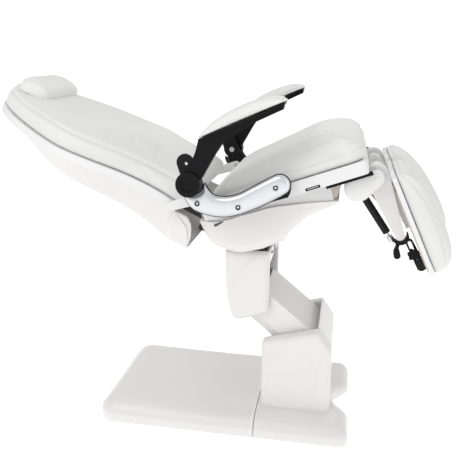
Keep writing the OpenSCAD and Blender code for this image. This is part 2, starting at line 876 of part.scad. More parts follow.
module leg_shell(angle) {
    color(white) on_leg(angle) {
        difference() {
            translate([shell_v[0], 0, 0]) rotate([90, 0, 90]) linear_extrude(shell_v[1] - shell_v[0])
                round_rect(leg_gap, leg_gap + leg_w, -leg_len + 3, 3, 36);
            translate([shell_v[0] + wall, 0, 0]) rotate([90, 0, 90]) linear_extrude(20)
                round_rect(leg_gap + wall, leg_gap + leg_w - wall, -leg_len + 3 + wall, 3 - wall, 32);
        }
        // channel that slides on the bar
        for (y = [bar_band[0] - 7, bar_band[1] + 1])
            translate([bar_v[0] - 2, y, -190]) cube([shell_v[0] - bar_v[0] + 3, 6, 130]);
        translate([bar_v[1] + 1.5, bar_band[0] - 7, -190])
            cube([shell_v[0] - bar_v[1], bar_band[1] - bar_band[0] + 14, 130]);
    }
}

module leg_cushion(angle) {
    v0 = shell_v[1] + 0.5;
    full = v0 + leg_cushion_t;
    color(cream) on_leg(angle) intersection() {
        across(leg_gap + 4, leg_gap + leg_w - 4) polygon([
            [v0, 2], [66, 5], [93, -1], [full - 22, -52], [full - 3, -121], [full, -212],
            [full - 10, -285], [full - 23, -323], [96, -344], [v0, -343]
        ]);
        translate([50, 0, 0]) rotate([90, 0, 90]) linear_extrude(120)
            round_rect(leg_gap + 4, leg_gap + leg_w - 4, -344, 12, 30);
    }
}

plate_out = [192, 197];      // slotted plate, from the middle plane
knob_at = [16, -272];        // star knob, in the leg's frame

module slot_plate(angle) {
    color(black) on_leg(angle) difference() {
        union() {
            across(plate_out[0], plate_out[1]) link_2d([16, -232], [22, -322], 12, 14);
            translate([20, plate_out[0] - 14, -334]) cube([shell_v[0] - 20.2, 19, 20]);
        }
        across(plate_out[0] - 1, plate_out[1] + 1) link_2d([16, -234], [16, -290], 5.5, 5.5);
    }
}

module star_knob(angle) {
    lobes = 7;
    lobe_r = 15;
    color(black) on_leg(angle) {
        bar_y(15, plate_out[1] + 1, plate_out[1] + 18, knob_at);
        for (i = [0 : lobes - 1])
            bar_y(5.5, plate_out[1] + 2, plate_out[1] + 16,
                knob_at + lobe_r * [cos(i * 360 / lobes), sin(i * 360 / lobes)]);
        bar_y(4, 186, plate_out[1] + 2, knob_at);
    }
}

function in_world(angle, p) = leg_axis
    + p[0] * [cos(angle), sin(angle)] + p[1] * [sin(angle), -cos(angle)];

module gas_spring(angle) {
    eye = in_world(angle, gas_eye);
    color(black) translate([0, gas_y, 0]) from_to(gas_foot, eye) difference() {
        union() {
            translate([14, 0, 0]) rotate([0, 90, 0]) cylinder(r = gas_r, h = 152);
            bar_y(10, -7, 7, [0, 0]);
            translate([7.5, 0, 0]) rotate([0, 90, 0]) cylinder(r = 6, h = 10);
        }
        bar_y(5 + running, -20, 20, [0, 0]);
        translate([44, 0, 0]) rotate([0, 90, 0]) cylinder(r = 4 + running, h = 200);
    }
}

module gas_rod(angle) {
    eye = in_world(angle, gas_eye);
    far = gap(gas_foot, eye);
    color(silver) translate([0, gas_y, 0]) from_to(gas_foot, eye) {
        translate([64, 0, 0]) rotate([0, 90, 0]) cylinder(r = 4, h = far - 70);
        translate([far - 30, 0, 0]) rotate([0, 90, 0]) cylinder(r = 10, h = 18);
    }
}

// Black release lever: a hook around the arm's end and an oval knob
module gas_lever(angle) {
    color(black) on_leg(angle) {
        across(158, 186) difference() {
            translate([-3, -211]) circle(26);
            translate([-3, -204]) circle(22);
            translate([-60, -208]) square([120, 60]);
        }
        across(164, 180) link_2d([-18, -231], [-30, -246], 5, 6);
        across(162, 182) link_2d([-32, -254], [-35, -266], 10, 11);
    }
}

module right_leg() { mirror([0, 1, 0]) children(); }

module leg_arm_right() { right_leg() leg_arm(leg_angle_right); }
module leg_arm_left() { leg_arm(leg_angle_left); }
module leg_shell_right() { right_leg() leg_shell(leg_angle_right); }
module leg_shell_left() { leg_shell(leg_angle_left); }
module leg_cushion_right() { right_leg() leg_cushion(leg_angle_right); }
module leg_cushion_left() { leg_cushion(leg_angle_left); }
module slot_plate_right() { right_leg() slot_plate(leg_angle_right); }
module slot_plate_left() { slot_plate(leg_angle_left); }
module star_knob_right() { right_leg() star_knob(leg_angle_right); }
module star_knob_left() { star_knob(leg_angle_left); }
module gas_spring_right() { right_leg() gas_spring(leg_angle_right); }
module gas_spring_left() { gas_spring(leg_angle_left); }
module gas_rod_right() { right_leg() gas_rod(leg_angle_right); }
module gas_rod_left() { gas_rod(leg_angle_left); }
module gas_lever_right() { right_leg() gas_lever(leg_angle_right); }
module gas_lever_left() { gas_lever(leg_angle_left); }

// ---------- nodes ----------

base_frame();
base_feet();
base_cover_rear();
base_cover_front();
pivot_bracket();
base_pins();
housing_cover();
control_box();
lift_arm_frame();
lift_arm_cover();
parallel_link();
lift_actuator_body();
lift_actuator_rod();
column_frame();
column_pins();
column_cover();
tilt_actuator_body();
tilt_actuator_rod();
seat_frame();
seat_under_cover();
seat_trim();
seat_cushion();
seat_front_bars();
side_handle();
arm_plate_right();
arm_plate_left();
arm_bracket_cover_right();
arm_bracket_cover_left();
bracket_screws();
seat_pins();
leg_brackets();
back_frame();
back_shell();
back_trim();
back_cushion();
back_actuator_body();
back_actuator_rod();
headrest_pillow();
armrest_right();
armrest_left();
arm_pad_right();
arm_pad_left();
arm_cap_right();
arm_cap_left();
leg_arm_right();
leg_arm_left();
leg_shell_right();
leg_shell_left();
leg_cushion_right();
leg_cushion_left();
slot_plate_right();
slot_plate_left();
star_knob_right();
star_knob_left();
gas_spring_right();
gas_spring_left();
gas_rod_right();
gas_rod_left();
gas_lever_right();
gas_lever_left();
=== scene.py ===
"""Looks of the electric treatment chair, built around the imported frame.

World metres, +X to the feet, +Y to the sitter's left, +Z up. Every shape below is drawn in
millimetres in the frame of its own part, as in the CAD source, and build() puts it in place.
"""

import json
import math

import bmesh
import bpy
import numpy as np
from mathutils import Matrix, Vector


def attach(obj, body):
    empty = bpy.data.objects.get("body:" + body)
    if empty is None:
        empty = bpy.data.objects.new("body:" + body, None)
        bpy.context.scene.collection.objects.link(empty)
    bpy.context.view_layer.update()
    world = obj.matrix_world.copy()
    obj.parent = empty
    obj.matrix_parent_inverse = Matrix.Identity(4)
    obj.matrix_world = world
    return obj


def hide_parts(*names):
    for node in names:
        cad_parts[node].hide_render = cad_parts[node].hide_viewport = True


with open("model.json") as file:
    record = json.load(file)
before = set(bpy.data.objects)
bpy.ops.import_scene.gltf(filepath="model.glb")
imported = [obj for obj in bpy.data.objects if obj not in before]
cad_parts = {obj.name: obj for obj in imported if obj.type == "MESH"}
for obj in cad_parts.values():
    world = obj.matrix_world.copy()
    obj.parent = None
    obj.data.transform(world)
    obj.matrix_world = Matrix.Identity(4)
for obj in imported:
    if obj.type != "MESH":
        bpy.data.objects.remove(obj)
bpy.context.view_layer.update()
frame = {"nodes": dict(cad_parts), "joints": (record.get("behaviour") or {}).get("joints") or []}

MM = 0.001
SIDES = {"right": -1, "left": 1}
WELD_GAP = 0.00002          # metres, points of a piece this close become one
CAD_WELD_GAP = 0.00005      # metres, the same for the CAD nodes' meshes

# ---------- frames of the moving parts ----------

JOINT = {j["name"]: Vector(j["pos_m"]) / MM for j in frame["joints"] if "pos_m" in j}


def place(x, z, angle):
    """Frame at x, z on the middle plane, turned by angle degrees about Y, from mm to metres."""
    turn = Matrix.Rotation(math.radians(angle), 4, "Y")
    return Matrix.Translation((x * MM, 0, z * MM)) @ turn @ Matrix.Scale(MM, 4)


SEAT_SLOPE = 19.6
BACK_SLOPE = 24.0
WORLD = place(0, 0, 0)
ON_SEAT = place(-60, 800, -SEAT_SLOPE)
ON_BACK = place(-126, 840, BACK_SLOPE)
LEG_ANGLE = {"right": 24.7, "left": 30.5}
LEG_AXIS = JOINT["leg_right_raise"]
ON_LEG = {s: place(LEG_AXIS.x, LEG_AXIS.z, -LEG_ANGLE[s]) for s in SIDES}
MIRROR = Matrix.Scale(-1, 4, (0, 1, 0))


def mirrored(side, where):
    """The frame as it is for the left side, mirrored about the middle plane for the right."""
    return where if side == "left" else MIRROR @ where


# ---------- outlines ----------

def fillet(corners, steps):
    """Outline through corners (a, b, radius), each rounded by steps + 1 points.

    With steps 0 the corners stay as they are."""
    if steps == 0:
        return [(c[0], c[1]) for c in corners]
    points = []
    count = len(corners)
    for i, (a, b, radius) in enumerate(corners):
        here = Vector((a, b))
        before = Vector(corners[i - 1][:2]) - here
        after = Vector(corners[(i + 1) % count][:2]) - here
        half_turn = max(before.angle(after) / 2, 0.05)
        reach = min(radius / math.tan(half_turn), 0.48 * before.length, 0.48 * after.length)
        start = here + before.normalized() * reach
        end = here + after.normalized() * reach
        pull = 4 / 3 * math.tan((math.pi - 2 * half_turn) / 4) * math.tan(half_turn)
        first = start.lerp(here, pull)
        second = end.lerp(here, pull)
        for k in range(steps + 1):
            t = k / steps
            p = start * (1 - t) ** 3 + first * 3 * t * (1 - t) ** 2
            p += second * 3 * t * t * (1 - t) + end * t ** 3
            points.append((p.x, p.y))
    return points


def area(corners):
    """Signed area, positive when the corners run anticlockwise."""
    total = 0.0
    for i, c in enumerate(corners):
        last = corners[i - 1]
        total += last[0] * c[1] - c[0] * last[1]
    return total / 2


def shrink(corners, inset):
    """The same corners with every side moved in by inset."""
    if inset == 0:
        return list(corners)
    sign = 1 if area(corners) > 0 else -1
    moved = []
    count = len(corners)
    for i, corner in enumerate(corners):
        here = Vector(corner[:2])
        into = (here - Vector(corners[i - 1][:2])).normalized()
        out = (Vector(corners[(i + 1) % count][:2]) - here).normalized()
        n1 = Vector((-into.y, into.x)) * sign
        n2 = Vector((-out.y, out.x)) * sign
        p = here + (n1 + n2) * inset / max(1 + n1.dot(n2), 0.3)
        moved.append((p.x, p.y) + tuple(corner[2:]))
    return moved


def catmull(knots, steps):
    """Smooth curve through the knots, steps points to a span, ending on the last knot."""
    curve = []
    count = len(knots)
    for i in range(count - 1):
        a, b, c, d = (np.array(knots[min(max(i + k, 0), count - 1)], float) for k in (-1, 0, 1, 2))
        for k in range(steps):
            u = k / steps
            p = 2 * b + (c - a) * u + (2 * a - 5 * b + 4 * c - d) * u * u
            curve.append(tuple(0.5 * (p + (3 * b - a - 3 * c + d) * u ** 3)))
    curve.append(tuple(float(v) for v in knots[-1]))
    return curve


def along(knots, x):
    """Value at x of a smooth line through (x, value) knots in rising order."""
    xs = [k[0] for k in knots]
    if x <= xs[0]:
        return knots[0][1]
    if x >= xs[-1]:
        return knots[-1][1]
    i = max(k for k in range(len(xs) - 1) if xs[k] <= x)
    u = (x - xs[i]) / (xs[i + 1] - xs[i])
    a, b, c, d = (knots[min(max(i + k, 0), len(xs) - 1)][1] for k in (-1, 0, 1, 2))
    return 0.5 * (2 * b + (c - a) * u + (2 * a - 5 * b + 4 * c - d) * u * u
                  + (3 * b - a - 3 * c + d) * u ** 3)


def straight(knots, x):
    """Values at the array x of the broken line through (x, value) knots in rising order."""
    return np.interp(x, *zip(*knots))


def ease(x, low, high):
    """0 below low, 1 above high, smooth in between; low may be the larger."""
    t = min(max((x - low) / (high - low), 0.0), 1.0)
    return t * t * (3 - 2 * t)


def smooth_step(x, low, high):
    """ease() for whole arrays."""
    t = np.clip((x - low) / (high - low), 0, 1)
    return t * t * (3 - 2 * t)


def arc(centre, radius, start, end, steps):
    """Points on a circle from start to end degrees."""
    return [(centre[0] + radius * math.cos(math.radians(start + (end - start) * k / steps)),
             centre[1] + radius * math.sin(math.radians(start + (end - start) * k / steps)))
            for k in range(steps + 1)]


def edge_distance(points, outline):
    """Distance of each point, a row of (a, b), from a closed outline."""
    best = np.full(len(points), 1e9)
    for i, end in enumerate(outline):
        start = np.array(outline[i - 1][:2], float)
        span = np.array(end[:2], float) - start
        length = max(float(span @ span), 1e-9)
        t = np.clip((points - start) @ span / length, 0, 1)
        gap = points - start - t[:, None] * span
        best = np.minimum(best, np.hypot(gap[:, 0], gap[:, 1]))
    return best


# ---------- solids ----------

LAY = {
    "plan": lambda a, b, h: (a, b, h),    # outline in x, y and height along z
    "side": lambda a, b, h: (a, h, b),    # outline in x, z and height along y
    "front": lambda a, b, h: (h, a, b),   # outline in y, z and height along x
}


def rings_to_solid(rings):
    """Closed skin over a list of equal closed rings, its ends filled."""
    verts = [p for ring in rings for p in ring]
    n = len(rings[0])
    faces = []
    for r in range(len(rings) - 1):
        for k in range(n):
            nxt = (k + 1) % n
            faces.append((r * n + k, r * n + nxt, (r + 1) * n + nxt, (r + 1) * n + k))
    faces.append(tuple(reversed(range(n))))
    last = (len(rings) - 1) * n
    faces.append(tuple(last + k for k in range(n)))
    return verts, faces


def mound(corners, levels, lay="plan", steps=6, face=None, rings=0):
    """Solid over an outline: one ring for each (inset, height) level.

    With rings, the last level closes in that many more steps towards the middle, and face(a, b)
    raises them."""
    stack = [[(a, b, h) for a, b in fillet(shrink(corners, inset), steps)] for inset, h in levels]
    last = stack[-1]
    middle = np.mean(np.array(last), axis=0)
    top = levels[-1][1]
    for k in range(1, rings + 1):
        share = 1 - k / (rings + 0.35)
        ring = []
        for a, b, _ in last:
            pa = middle[0] + (a - middle[0]) * share
            pb = middle[1] + (b - middle[1]) * share
            ring.append((pa, pb, top + (face(pa, pb) if face else 0)))
        stack.append(ring)
    turn = LAY[lay]
    return rings_to_solid([[turn(*p) for p in ring] for ring in stack])


def build(name, shape, where, body, material, *nodes, sharp=35):
    """Make the piece from (verts, faces) in mm, put it in its frame and let it ride on its body.

    It takes its material's slot, and is shown in place of the CAD nodes that are named."""
    verts, faces = shape
    mesh = bpy.data.meshes.new(name)
    mesh.from_pydata([where @ Vector(v) for v in verts], [], faces)
    obj = bpy.data.objects.new(name, mesh)
    bpy.context.scene.collection.objects.link(obj)
    tidy_mesh(mesh, sharp)
    mesh.materials.append(material)
    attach(obj, body)
    if nodes:
        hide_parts(*nodes)
    return obj


def tidy_mesh(mesh, sharp):
    """Weld, turn the faces outwards and shade smooth, but not over edges past sharp degrees."""
    bm = bmesh.new()
    bm.from_mesh(mesh)
    bmesh.ops.remove_doubles(bm, verts=bm.verts, dist=WELD_GAP)
    bmesh.ops.recalc_face_normals(bm, faces=bm.faces)
    limit = math.radians(sharp)
    for edge in bm.edges:
        edge.smooth = edge.calc_face_angle(0.0) < limit
    for f in bm.faces:
        f.smooth = True
    bm.to_mesh(mesh)
    bm.free()


def soften(obj, width, segments=3, angle=32):
    """Round the edges of a piece or a CAD node by width mm, where they turn past angle degrees."""
    bevel = obj.modifiers.new("round_edges", "BEVEL")
    bevel.width = width * MM
    bevel.segments = segments
    bevel.limit_method = "ANGLE"
    bevel.angle_limit = math.radians(angle)
    bevel.use_clamp_overlap = True


def cut(obj, point, normal, where):
    """Keep the part of a mesh behind a plane given in mm, and close it."""
    bm = bmesh.new()
    bm.from_mesh(obj.data)
    geom = list(bm.verts) + list(bm.edges) + list(bm.faces)
    n = (where.to_3x3() @ Vector(normal)).normalized()
    done = bmesh.ops.bisect_plane(bm, geom=geom, plane_co=where @ Vector(point), plane_no=n,
                                  clear_outer=True)
    edges = [e for e in done["geom_cut"] if isinstance(e, bmesh.types.BMEdge)]
    bmesh.ops.edgeloop_fill(bm, edges=edges)
    bm.to_mesh(obj.data)
    bm.free()
    tidy_mesh(obj.data, 35)


def crown(obj, axis, low, top, outline, edge, flip=1, relief=None):
    """Shape a slab's outer face: its height follows edge, (distance in from the outline, height).

    What lies between low and top along the axis stretches with it, and relief(a, b, high) adds to
    the height."""
    points = coords(obj) / MM
    flat = np.delete(points, axis, 1)
    high = straight(edge, edge_distance(flat, outline))
    if relief:
        high = high + relief(flat[:, 0], flat[:, 1], high)
    away = points[:, axis] * flip
    share = np.clip((away - low) / (top - low), 0, 1)
    points[:, axis] = flip * (away + share * (high - top))
    write(obj, points * MM)


# ---------- finishes ----------

COAT_ROUGHNESS = 0.12
ROUGH_SPREAD = 0.07             # how far the roughness varies to each side
ROUGH_SCALE = 70                # size of that variation, per metre
WORN_EDGE = (0.52, 0.62)        # pointiness where wear starts and where it is full
FACING_DOWN = (0.35, -0.75)     # Z of the normal where the painted shade below starts and where it is full


def finish(name, colour, rough, metallic=0.0, coat=0.0, sheen=0.0, bumps=(), cloud=0.03,
           cloud_scale=6.0, stretch=(1, 1, 1), wear=0.0, painted_shade_below=0.0, shine=0.5):
    """Procedural material. bumps holds (texture, scale per metre, height in mm, strength).

    wear lightens the outer edges, and a painted shade darkens what faces down."""
    mat = bpy.data.materials.new(name)
    mat.use_nodes = True
    nodes, links = mat.node_tree.nodes, mat.node_tree.links
    shader = nodes["Principled BSDF"]
    shader.inputs["Metallic"].default_value = metallic
    shader.inputs["Specular IOR Level"].default_value = shine
    shader.inputs["Coat Weight"].default_value = coat
    shader.inputs["Coat Roughness"].default_value = COAT_ROUGHNESS
    shader.inputs["Sheen Weight"].default_value = sheen
    coord = nodes.new("ShaderNodeTexCoord")
    mapping = nodes.new("ShaderNodeMapping")
    mapping.inputs["Scale"].default_value = stretch
    links.new(coord.outputs["Object"], mapping.inputs["Vector"])

    clouds = nodes.new("ShaderNodeTexNoise")
    clouds.inputs["Scale"].default_value = cloud_scale
    clouds.inputs["Detail"].default_value = 5
    links.new(mapping.outputs["Vector"], clouds.inputs["Vector"])
    tone = nodes.new("ShaderNodeMix")
    tone.data_type = "RGBA"
    tone.inputs["A"].default_value = [c * (1 - cloud) for c in colour] + [1]
    tone.inputs["B"].default_value = [min(c * (1 + cloud), 1) for c in colour] + [1]
    links.new(clouds.outputs["Fac"], tone.inputs["Factor"])
    colour_out = tone.outputs["Result"]

    fine = nodes.new("ShaderNodeTexNoise")
    fine.inputs["Scale"].default_value = ROUGH_SCALE
    links.new(mapping.outputs["Vector"], fine.inputs["Vector"])
    spread = nodes.new("ShaderNodeMapRange")
    spread.inputs["To Min"].default_value = max(rough - ROUGH_SPREAD, 0.02)
    spread.inputs["To Max"].default_value = min(rough + ROUGH_SPREAD, 1)
    links.new(fine.outputs["Fac"], spread.inputs["Value"])
    links.new(spread.outputs["Result"], shader.inputs["Roughness"])

    if wear > 0:
        geometry = nodes.new("ShaderNodeNewGeometry")
        edge = nodes.new("ShaderNodeMapRange")
        edge.inputs["From Min"].default_value = WORN_EDGE[0]
        edge.inputs["From Max"].default_value = WORN_EDGE[1]
        edge.inputs["To Max"].default_value = wear
        links.new(geometry.outputs["Pointiness"], edge.inputs["Value"])
        rubbed = nodes.new("ShaderNodeMix")
        rubbed.data_type = "RGBA"
        rubbed.inputs["B"].default_value = [min(c * 1.5 + 0.08, 1) for c in colour] + [1]
        links.new(edge.outputs["Result"], rubbed.inputs["Factor"])
        links.new(colour_out, rubbed.inputs["A"])
        colour_out = rubbed.outputs["Result"]

    # painted shade: faces that look down get a darker colour, standing in for the darker reflection
    # on a lower band
    if painted_shade_below > 0:
        facing = nodes.new("ShaderNodeNewGeometry")
        split = nodes.new("ShaderNodeSeparateXYZ")
        links.new(facing.outputs["Normal"], split.inputs["Vector"])
        down = nodes.new("ShaderNodeMapRange")
        down.inputs["From Min"].default_value = FACING_DOWN[0]
        down.inputs["From Max"].default_value = FACING_DOWN[1]
        down.inputs["To Max"].default_value = painted_shade_below
        links.new(split.outputs["Z"], down.inputs["Value"])
        shaded = nodes.new("ShaderNodeMix")
        shaded.data_type = "RGBA"
        shaded.inputs["B"].default_value = [c * 0.25 for c in colour] + [1]
        links.new(down.outputs["Result"], shaded.inputs["Factor"])
        links.new(colour_out, shaded.inputs["A"])
        colour_out = shaded.outputs["Result"]

    links.new(colour_out, shader.inputs["Base Color"])

    normal = None
    for kind, scale, height, strength in bumps:
        if kind == "cells":
            texture = nodes.new("ShaderNodeTexVoronoi")
            texture.feature = "SMOOTH_F1"
            value = texture.outputs["Distance"]
        else:
            texture = nodes.new("ShaderNodeTexNoise")
            texture.inputs["Detail"].default_value = 3
            value = texture.outputs["Fac"]
        texture.inputs["Scale"].default_value = scale
        links.new(mapping.outputs["Vector"], texture.inputs["Vector"])
        bump = nodes.new("ShaderNodeBump")
        bump.inputs["Strength"].default_value = strength
        bump.inputs["Distance"].default_value = height * MM
        links.new(value, bump.inputs["Height"])
        if normal:
            links.new(normal, bump.inputs["Normal"])
        normal = bump.outputs["Normal"]
    if normal:
        links.new(normal, shader.inputs["Normal"])
    return mat


LEATHER = finish("leatherette", (0.80, 0.80, 0.79), 0.46, sheen=0.12, cloud=0.03, cloud_scale=5,
                 bumps=[("cells", 620, 0.35, 0.5), ("noise", 1500, 0.12, 0.4),
                        ("noise", 28, 1.2, 0.25)])
SHELL = finish("moulded_white", (0.80, 0.79, 0.785), 0.34, coat=0.25, cloud=0.015, cloud_scale=3,
               bumps=[("noise", 320, 0.06, 0.25), ("noise", 9, 0.5, 0.12)], wear=0.25)
TRIM = finish("gloss_white", (0.83, 0.83, 0.835), 0.2, coat=0.5, cloud=0.01,
              bumps=[("noise", 240, 0.03, 0.2), ("noise", 8, 0.3, 0.1)], wear=0.2)
WHITE_STEEL = finish("white_paint", (0.82, 0.815, 0.81), 0.32, coat=0.35, cloud=0.02,
                     bumps=[("noise", 520, 0.05, 0.35)], wear=0.3)
# the aluminium's downward faces carry painted shade, for the darker lower band of its reflection
ALUMINIUM = finish("brushed_aluminium", (0.82, 0.83, 0.865), 0.3, metallic=0.85, cloud=0.06,
                   cloud_scale=30, stretch=(0.12, 1, 1), painted_shade_below=0.4,
                   bumps=[("noise", 900, 0.05, 0.35), ("noise", 3000, 0.02, 0.3)], wear=0.3)
BLACK_PLASTIC = finish("black_plastic", (0.005, 0.005, 0.006), 0.42, cloud=0.12, cloud_scale=60,
                       bumps=[("cells", 1400, 0.1, 0.4)], wear=0.05, shine=0.15)
BLACK_PAINT = finish("black_paint", (0.005, 0.005, 0.006), 0.34, coat=0.05, cloud=0.1, shine=0.2,
                     bumps=[("noise", 700, 0.08, 0.35)], wear=0.05)
RUBBER = finish("rubber", (0.02, 0.02, 0.02), 0.75, cloud=0.15, cloud_scale=80,
                bumps=[("noise", 900, 0.15, 0.5)])
STEEL = finish("frame_steel", (0.10, 0.10, 0.105), 0.45, metallic=0.4, cloud=0.15, cloud_scale=25,
               bumps=[("noise", 600, 0.1, 0.4)], wear=0.35)
PIN = finish("pin_steel", (0.62, 0.62, 0.64), 0.24, metallic=1.0, cloud=0.06, cloud_scale=80,
             bumps=[("noise", 1800, 0.03, 0.4)], wear=0.2)
MOTOR = finish("motor_grey", (0.075, 0.075, 0.08), 0.48, cloud=0.1, cloud_scale=40,
               bumps=[("cells", 900, 0.1, 0.4)], wear=0.2)
# board colour: a beige-brown partly painted shade, standing in for the brownish shade under the
# shells and inside the belly
SHADE_TONED_BOARD = finish("shade_toned_board", (0.60, 0.54, 0.49), 0.6, cloud=0.22, cloud_scale=22,
               stretch=(1, 6, 1), bumps=[("noise", 260, 0.15, 0.5)])


# ---------- CAD nodes that stay, with their finish and edge rounding in mm ----------

KEPT = [
    (STEEL, 0, ["base_frame", "pivot_bracket", "lift_arm_frame", "parallel_link", "column_frame",
                "seat_frame"]),
    (RUBBER, 1.5, ["base_feet"]),
    (PIN, 0, ["base_pins", "column_pins", "seat_pins", "lift_actuator_rod", "tilt_actuator_rod",
              "back_actuator_rod", "gas_rod_right", "gas_rod_left", "bracket_screws"]),
    (MOTOR, 2, ["lift_actuator_body", "tilt_actuator_body", "back_actuator_body", "control_box"]),
    (SHELL, 5, ["lift_arm_cover"]),
    (TRIM, 3, ["seat_trim", "back_trim", "leg_shell_right", "leg_shell_left"]),
    (WHITE_STEEL, 4, ["back_frame", "leg_arm_right", "leg_arm_left"]),
    (BLACK_PAINT, 1.5, ["arm_plate_right", "arm_plate_left", "slot_plate_right", "slot_plate_left",
                        "gas_spring_right", "gas_spring_left"]),
    (BLACK_PLASTIC, 4, ["armrest_right", "armrest_left"]),
    (BLACK_PLASTIC, 1.5, ["arm_cap_right", "arm_cap_left", "star_knob_right", "star_knob_left",
                          "gas_lever_right", "gas_lever_left", "side_handle", "seat_front_bars"]),
]


def dress_frame():
    """Give every CAD node that stays its material and softened edges."""
    for material, width, names in KEPT:
        for name in names:
            node = frame["nodes"][name]
            for slot in node.material_slots:
                slot.link = "OBJECT"
                slot.material = material
            if width:
                weld = node.modifiers.new("weld", "WELD")
                weld.merge_threshold = CAD_WELD_GAP
                soften(node, width)
                node.modifiers.new("even_normals", "WEIGHTED_NORMAL").keep_sharp = True


# ---------- soft goods ----------

def remesh(obj, voxel):
    """Even out a piece's mesh to voxel mm."""
    step = obj.modifiers.new("remesh", "REMESH")
    step.mode = "VOXEL"
    step.voxel_size = voxel * MM
    apply_all(obj)


def apply_all(obj):
    """Turn the piece's modifiers into its mesh."""
    graph = bpy.context.evaluated_depsgraph_get()
    graph.update()
    made = bpy.data.meshes.new_from_object(obj.evaluated_get(graph))
    obj.modifiers.clear()
    obj.data = made
    for f in made.polygons:
        f.use_smooth = True


def coords(obj):
    """The points of the piece's mesh, in metres."""
    return np.array([v.co for v in obj.data.vertices], float).reshape(-1, 3)


def local_coords(obj, where):
    """The points of the piece's mesh in mm in the frame where."""
    back = np.array(where.inverted(), float)
    return coords(obj) @ back[:3, :3].T + back[:3, 3]


def write(obj, points):
    """Move the points of the piece's mesh to these, in metres."""
    obj.data.vertices.foreach_set("co", points.astype(np.float32).ravel())
    obj.data.update()


def recoat(obj, material):
    """Give a remeshed piece its material again."""
    obj.data.materials.clear()
    obj.data.materials.append(material)


CLOTH_FRAMES = 20


def puff(obj, held, pressure, cap):
    """Inflate the piece as cloth, its held vertices still and no point moved over cap mm."""
    rest = coords(obj)
    group = obj.vertex_groups.new(name="held")
    group.add([int(i) for i in np.nonzero(held)[0]], 1.0, "REPLACE")
    cloth = obj.modifiers.new("cloth", "CLOTH")
    cloth.settings.quality = 4
    cloth.settings.mass = 0.3
    cloth.settings.tension_stiffness = 22
    cloth.settings.compression_stiffness = 22
    cloth.settings.shear_stiffness = 10
    cloth.settings.bending_stiffness = 3
    cloth.settings.vertex_group_mass = "held"
    cloth.settings.use_pressure = True
    cloth.settings.uniform_pressure_force = pressure
    cloth.settings.effector_weights.gravity = 0
    cloth.collision_settings.use_collision = False
    cloth.point_cache.frame_start = 1
    cloth.point_cache.frame_end = CLOTH_FRAMES
    scene = bpy.context.scene
    for number in range(1, CLOTH_FRAMES + 1):
        scene.frame_set(number)
    graph = bpy.context.evaluated_depsgraph_get()
    swollen = obj.evaluated_get(graph).to_mesh()
    moved = np.array([v.co for v in swollen.vertices], float).reshape(-1, 3) - rest
    obj.evaluated_get(graph).to_mesh_clear()
    obj.modifiers.clear()
    scene.frame_set(1)
    length = np.linalg.norm(moved, axis=1)[:, None]
    limit = cap * MM
    moved *= limit * np.tanh(length / limit) / np.maximum(length, 1e-9)
    write(obj, rest + moved)


def relax(obj, rounds):
    """Smooth the piece's mesh."""
    step = obj.modifiers.new("relax", "SMOOTH")
    step.factor = 0.5
    step.iterations = rounds
    apply_all(obj)


def subdivide(obj):
    """Split every face of the piece in four, smoothly."""
    step = obj.modifiers.new("finer", "SUBSURF")
    step.levels = 1
    step.render_levels = 1
    apply_all(obj)


def press(obj, where, depth):
    """Push the surface in along its normals by depth(x, y, z) mm, arrays of local mm in and out."""
    normals = np.array([v.normal for v in obj.data.vertices], float).reshape(-1, 3)
    amount = depth(*local_coords(obj, where).T)
    write(obj, coords(obj) - normals * (amount * MM)[:, None])


def groove(distance, width, depth):
    """A sewn seam: a valley with the cover drawn up softly on both sides of it."""
    x = distance / width
    return depth * (np.exp(-x * x) - 0.35 * np.exp(-(np.abs(x) - 2.6) ** 2 / 2.5))


def near_edge(rim, reach, blur):
    """1 where the edge is nearer than reach, 0 further in, blurred in between."""
    return 1 / (1 + np.exp((rim - reach) / blur))


def wrinkles(x, y, z, size, height):
    """Soft uneven swelling of a padded surface, from a few crossed waves."""
    a = np.sin(x / size + 1.3 * np.sin(y / (size * 1.7)))
    b = np.sin(y / (size * 0.8) + 1.1 * np.sin(z / size + x / (size * 2.3)))
    return height * (a + b) / 2


def cushion(name, shape, where, body, node, voxel, pressure, cap, held, depth, rounds=2):
    """Padded piece: drawn a little small, remeshed, inflated, relaxed, subdivided and sewn.

    held(x, y, z) says which points stay still, and depth(x, y, z) how deep the seams press in."""
    obj = build(name, shape, where, body, LEATHER, node, sharp=80)
    remesh(obj, voxel)
    puff(obj, held(*local_coords(obj, where).T), pressure, cap)
    relax(obj, rounds)
    subdivide(obj)
    recoat(obj, LEATHER)
    press(obj, where, depth)


FULL = 100          # height of a slab before it is shaped
SEAT_HALF = 280
SEAT_LEN = 545
SEAT_INSET = 12     # the pad is drawn this far inside the cushion's sides, and swells
CUSHION_LOW = 29
SEAT_TOP = [(30, 68), (68, 80), (130, 95), (200, 103), (277, 111), (352, 121), (427, 130),
            (470, 130), (510, 125), (555, 112)]
EDGE_ROUND = [(3, 0.0), (0.5, 0.05), (0, 0.2), (0, 0.42), (3, 0.6), (8, 0.74), (17, 0.86),
              (31, 0.94), (52, 0.98)]


